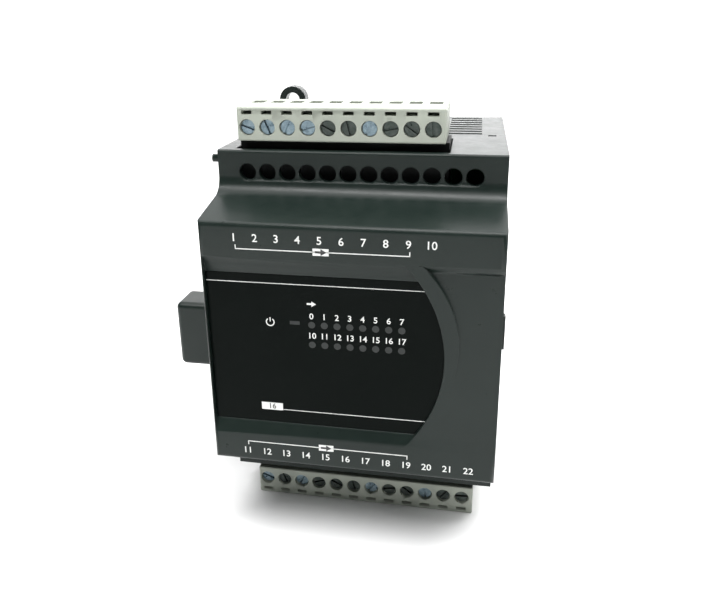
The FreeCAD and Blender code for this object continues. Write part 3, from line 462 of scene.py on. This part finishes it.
def bracket(z, direction, first, last):
    # a line with a tick at each end, and a filled box with a dark arrow at its middle
    half = printing["line"] / 2
    left, right = [printing["firstX"] + pole * printing["pitch"] + printing["bracketShift"]
                   for pole in (first, last)]
    middle = (left + right) / 2
    reach = sorted((z, z + direction * printing["tick"]))
    boxX, boxZ = printing["boxWidth"] / 2, printing["boxHeight"] / 2
    white = [
        barMesh((left - half, right + half), (z - half, z + half), labelFace),
        barMesh((left - half, left + half), reach, labelFace),
        barMesh((right - half, right + half), reach, labelFace),
        barMesh((middle - boxX, middle + boxX), (z - boxZ, z + boxZ), labelFace),
    ]
    return white, arrowMeshes(middle, z, labelFace - printing["overprint"], printing["arrowReach"])


def labelPrints():
    white, dark = [], []
    for row, poles, start in (("upper", 10, 1), ("lower", 12, 11)):
        for pole in range(poles):
            x = printing["firstX"] + pole * printing["pitch"]
            number = str(start + pole)
            white.append(textMesh(number, printing[row + "Size"], x, printing[row + "Z"], labelFace))
    for z, direction in ((printing["bracketUpperZ"], 1), (printing["bracketLowerZ"], -1)):
        lines, sign = bracket(z, direction, 0, 8)
        white += lines
        dark += sign
    joinAsPiece("label_prints", white, whiteInk, "case")
    joinAsPiece("label_box_prints", dark, darkInk, "case")


windowLayout = {
    "topLineZ": 16.7 * mm,
    "lowLineZ": -16.8 * mm,
    "lowLineX": (-16.8 * mm, 18.3 * mm),
    "topLineRight": 18.0 * mm,
    "topLineInset": 0.1 * mm,
    "line": 0.16 * mm,
    "firstLed": -8.9 * mm,
    "ledPitch": 3.04 * mm,
    "ledZ": 6.65 * mm,
    "ledRowGap": -5.15 * mm,
    "ledRadius": 0.85 * mm,
    "upperDigitsZ": 8.8 * mm,
    "lowerDigitsZ": 3.8 * mm,
    "digitSize": 1.55 * mm,
    "arrowX": -8.8 * mm,
    "arrowZ": 12.0 * mm,
    "arrowReach": 1.1 * mm,
    "plateX": (-22.3 * mm, -16.9 * mm),
    "plateZ": (-17.1 * mm, -15.1 * mm),
    "plateSize": 1.5 * mm,
    "powerLensX": (-14.2 * mm, -11.8 * mm),
    "powerLensZ": (6.5 * mm, 7.4 * mm),
}

powerSign = {
    "x": -19.0 * mm,
    "z": 6.8 * mm,
    "radius": 0.95 * mm,
    "line": 0.26 * mm,
    "gap": 70,                  # degrees, at the top
    "steps": 28,
    "stroke": (0.1 * mm, 1.2 * mm),     # from and to, above the middle of the ring
}


def ringMesh(x, z, face, radius, line, gap):
    # an open ring with its gap at the top
    work = bmesh.new()
    steps = powerSign["steps"]
    rows = []
    for step in range(steps + 1):
        angle = math.radians(90 + gap / 2 + (360 - gap) * step / steps)
        row = []
        for distance in (radius - line / 2, radius + line / 2):
            for depth in (0, printing["thick"]):
                row.append(work.verts.new((x + distance * math.cos(angle),
                                           face - printing["rise"] - depth,
                                           z + distance * math.sin(angle))))
        rows.append(row)
    for one, two in zip(rows, rows[1:]):
        for a, b in ((0, 1), (1, 3), (3, 2), (2, 0)):
            work.faces.new((one[a], one[b], two[b], two[a]))
    for row in (rows[0], rows[-1]):
        work.faces.new((row[0], row[1], row[3], row[2]))
    bmesh.ops.recalc_face_normals(work, faces=work.faces)
    mesh = bpy.data.meshes.new("ring")
    work.to_mesh(mesh)
    work.free()
    return mesh


def windowPrints():
    plan, face = windowLayout, windowFace
    half = plan["line"] / 2
    topLine = (windowBox[0][0] + plan["topLineInset"], plan["topLineRight"])
    white = [
        barMesh(topLine, (plan["topLineZ"] - half, plan["topLineZ"] + half), face),
        barMesh(plan["lowLineX"], (plan["lowLineZ"] - half, plan["lowLineZ"] + half), face),
        barMesh(plan["plateX"], plan["plateZ"], face),
    ]
    for column in range(8):
        x = plan["firstLed"] + column * plan["ledPitch"]
        white.append(textMesh(str(column), plan["digitSize"], x, plan["upperDigitsZ"], face))
        white.append(textMesh(str(10 + column), plan["digitSize"], x, plan["lowerDigitsZ"], face))
    # an arrow for the inputs and the usual on sign for the power lens
    white += arrowMeshes(plan["arrowX"], plan["arrowZ"], face, plan["arrowReach"])
    x, z, half = powerSign["x"], powerSign["z"], powerSign["line"] / 2
    white.append(ringMesh(x, z, face, powerSign["radius"], powerSign["line"], powerSign["gap"]))
    white.append(barMesh((x - half, x + half), [z + end for end in powerSign["stroke"]], face))
    joinAsPiece("window_prints", white, whiteInk, "case")
    middle = [sum(plan[side]) / 2 for side in ("plateX", "plateZ")]
    dark = [textMesh("16", plan["plateSize"], *middle, face - printing["overprint"])]
    joinAsPiece("window_plate_print", dark, darkInk, "case")


labelPrints()
windowPrints()
print("prints made")


# lens spots that show through the window, set out by a node tree

def socketId(group, name):
    for item in group.interface.items_tree:
        if item.item_type == "SOCKET" and item.in_out == "INPUT" and item.name == name:
            return item.identifier


def lensGroup():
    group = bpy.data.node_groups.new("lens spots", "GeometryNodeTree")
    face = group.interface
    face.new_socket("Geometry", in_out="INPUT", socket_type="NodeSocketGeometry")
    face.new_socket("Geometry", in_out="OUTPUT", socket_type="NodeSocketGeometry")
    for name, kind in (("Columns", "NodeSocketInt"), ("Pitch", "NodeSocketFloat"),
                       ("Row Gap", "NodeSocketFloat"), ("Radius", "NodeSocketFloat"),
                       ("Thickness", "NodeSocketFloat"), ("Start", "NodeSocketVector"),
                       ("Lens", "NodeSocketMaterial")):
        face.new_socket(name, in_out="INPUT", socket_type=kind)
    nodes, links = group.nodes, group.links
    given = nodes.new("NodeGroupInput").outputs
    result = nodes.new("NodeGroupOutput")

    def made(kind, **inputs):
        node = nodes.new(kind)
        for key, source in inputs.items():
            socket = node.inputs[key.replace("_", " ")]
            if isinstance(source, bpy.types.NodeSocket):
                links.new(source, socket)
            else:
                socket.default_value = source
        return node

    disc = made("GeometryNodeMeshCylinder", Vertices=24, Radius=given["Radius"],
                Depth=given["Thickness"])
    upright = made("GeometryNodeTransform", Geometry=disc.outputs["Mesh"],
                   Rotation=(math.radians(90), 0, 0))
    across = made("ShaderNodeCombineXYZ", X=given["Pitch"])
    columns = made("GeometryNodeMeshLine", Count=given["Columns"], Offset=across.outputs["Vector"],
                   Start_Location=given["Start"])
    down = made("ShaderNodeCombineXYZ", Z=given["Row Gap"])
    rows = made("GeometryNodeMeshLine", Count=2, Offset=down.outputs["Vector"])
    column = made("GeometryNodeInstanceOnPoints", Points=rows.outputs["Mesh"],
                  Instance=upright.outputs["Geometry"])
    grid = made("GeometryNodeInstanceOnPoints", Points=columns.outputs["Mesh"],
                Instance=column.outputs["Instances"])
    real = made("GeometryNodeRealizeInstances", Geometry=grid.outputs["Instances"])
    dressed = made("GeometryNodeSetMaterial", Geometry=real.outputs["Geometry"],
                   Material=given["Lens"])
    links.new(dressed.outputs["Geometry"], result.inputs["Geometry"])
    return group


def builtByNodes(name, group, values, body):
    holder = bpy.data.objects.new(name, bpy.data.meshes.new(name + " base"))
    bpy.context.scene.collection.objects.link(holder)
    modifier = holder.modifiers.new("build", "NODES")
    modifier.node_group = group
    for key, value in values.items():
        modifier[socketId(group, key)] = value
    graph = bpy.context.evaluated_depsgraph_get()
    mesh = bpy.data.meshes.new_from_object(holder.evaluated_get(graph))
    holder.modifiers.remove(modifier)
    holder.data = mesh
    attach(holder, body)
    return holder


lensSpots = {
    "Columns": 8,
    "Pitch": windowLayout["ledPitch"],
    "Row Gap": windowLayout["ledRowGap"],
    "Radius": windowLayout["ledRadius"],
    "Thickness": printing["thick"],
    "Start": (windowLayout["firstLed"], windowFace - printing["rise"] / 2, windowLayout["ledZ"]),
    "Lens": lensGrey,
}
builtByNodes("lens_spots", lensGroup(), lensSpots, "case")
powerBar = barMesh(windowLayout["powerLensX"], windowLayout["powerLensZ"],
                   windowFace + printing["rise"] / 2)
joinAsPiece("power_spot", [powerBar], lensGrey, "case")
print("lens spots made")


# floor, light and camera, in metres

studioFloor = {
    "tone": (0.86, 0.86, 0.86),
    "roughness": 0.85,
    "specular": 0.2,
    "halfWidth": 4,
    "front": -2.5,
    "back": 1.2,                # where the floor starts to curve up
    "sweep": 0.8,
    "sweepSteps": 12,
    "wallTop": 3.5,
    "fadeFrom": 0.25,           # past here the camera sees more and more plain white
    "fadeTo": 0.6,
}

room = {"tint": (0.96, 0.985, 1.0), "light": 0.12, "seenWhite": 1.3}

softboxes = {
    "overhead": {"place": (0.1, 0.02, 0.8), "aim": (0, 0, 0), "size": (1.6, 1.3), "power": 18},
    "strip": {"place": (0.1, -0.2, 0.75), "aim": (0, -0.05, 0), "size": (1.3, 0.12), "power": 10},
    "backdrop": {"place": (0.0, 0.9, 1.2), "aim": (0, 1.9, 0.5), "size": (2.5, 1.0), "power": 70},
}


def floorMaterial():
    material, tree, shader = newMaterial("pale floor")
    shader.inputs["Base Color"].default_value = (*studioFloor["tone"], 1)
    shader.inputs["Roughness"].default_value = studioFloor["roughness"]
    shader.inputs["Specular IOR Level"].default_value = studioFloor["specular"]
    # well past the shadow the camera sees plain white, so no horizon shows
    away = addNode(tree, "ShaderNodeVectorMath", operation="LENGTH")
    tree.links.new(objectCoordinates(tree), away.inputs[0])
    seen = addNode(tree, "ShaderNodeLightPath").outputs["Is Camera Ray"]
    far = rangeOf(tree, away.outputs["Value"], 0.0, 1.0, studioFloor["fadeFrom"], studioFloor["fadeTo"])
    white = addNode(tree, "ShaderNodeEmission")
    white.inputs["Strength"].default_value = room["seenWhite"]
    mixed = addNode(tree, "ShaderNodeMixShader")
    tree.links.new(timesOf(tree, far, seen), mixed.inputs[0])
    tree.links.new(shader.outputs["BSDF"], mixed.inputs[1])
    tree.links.new(white.outputs["Emission"], mixed.inputs[2])
    tree.links.new(mixed.outputs["Shader"], tree.nodes["Material Output"].inputs["Surface"])
    return material


def layFloor():
    # a flat floor at the object's foot that sweeps up into a wall behind it
    low, back, sweep = cadBox[0][2], studioFloor["back"], studioFloor["sweep"]
    steps, halfWidth = studioFloor["sweepSteps"], studioFloor["halfWidth"]
    outline = [(studioFloor["front"], low), (back, low)]
    for step in range(1, steps + 1):
        angle = math.radians(90 * step / steps)
        outline.append((back + sweep * math.sin(angle), low + sweep * (1 - math.cos(angle))))
    outline.append((back + sweep, low + studioFloor["wallTop"]))
    work = bmesh.new()
    left, right = [[work.verts.new((x, y, z)) for y, z in outline] for x in (-halfWidth, halfWidth)]
    for index in range(len(outline) - 1):
        face = work.faces.new((left[index], right[index], right[index + 1], left[index + 1]))
        face.smooth = True
    mesh = bpy.data.meshes.new("floor")
    work.to_mesh(mesh)
    work.free()
    mesh.materials.append(floorMaterial())
    floor = bpy.data.objects.new("floor", mesh)
    bpy.context.scene.collection.objects.link(floor)


def lightRoom():
    # the room is dim, but what shows past the floor is as pale as the floor
    world = bpy.data.worlds.new("studio")
    world.use_nodes = True
    tree = world.node_tree
    background = tree.nodes["Background"]
    background.inputs["Color"].default_value = (*room["tint"], 1)
    seen = addNode(tree, "ShaderNodeLightPath").outputs["Is Camera Ray"]
    strength = rangeOf(tree, seen, room["light"], room["seenWhite"], 0, 1)
    tree.links.new(strength, background.inputs["Strength"])
    bpy.context.scene.world = world
    for name, box in softboxes.items():
        light = bpy.data.lights.new(name, "AREA")
        light.shape = "RECTANGLE"
        light.size, light.size_y = box["size"]
        light.energy = box["power"]
        lamp = bpy.data.objects.new(name, light)
        lamp.location = box["place"]
        direction = Vector(box["aim"]) - Vector(box["place"])
        lamp.rotation_euler = direction.to_track_quat("-Z", "Y").to_euler()
        bpy.context.scene.collection.objects.link(lamp)


def camera():
    # from a little to the right of the front, looking down
    shot = {"place": (27.34 * mm, -212.48 * mm, 75.98 * mm), "turn": (71.908, 0.807, 10.317),
            "lens": 35.24, "sensor": 36, "shift": (0.00434, -0.0851), "near": 0.01}
    eye = bpy.data.cameras.new("camera")
    eye.lens = shot["lens"]
    eye.sensor_width = shot["sensor"]
    eye.shift_x, eye.shift_y = shot["shift"]
    eye.clip_start = shot["near"]
    holder = bpy.data.objects.new("camera", eye)
    holder.location = shot["place"]
    holder.rotation_euler = [math.radians(angle) for angle in shot["turn"]]
    bpy.context.scene.collection.objects.link(holder)
    bpy.context.scene.camera = holder
    bpy.context.scene.view_settings.view_transform = "Standard"


layFloor()
lightRoom()
camera()
print("studio ready")
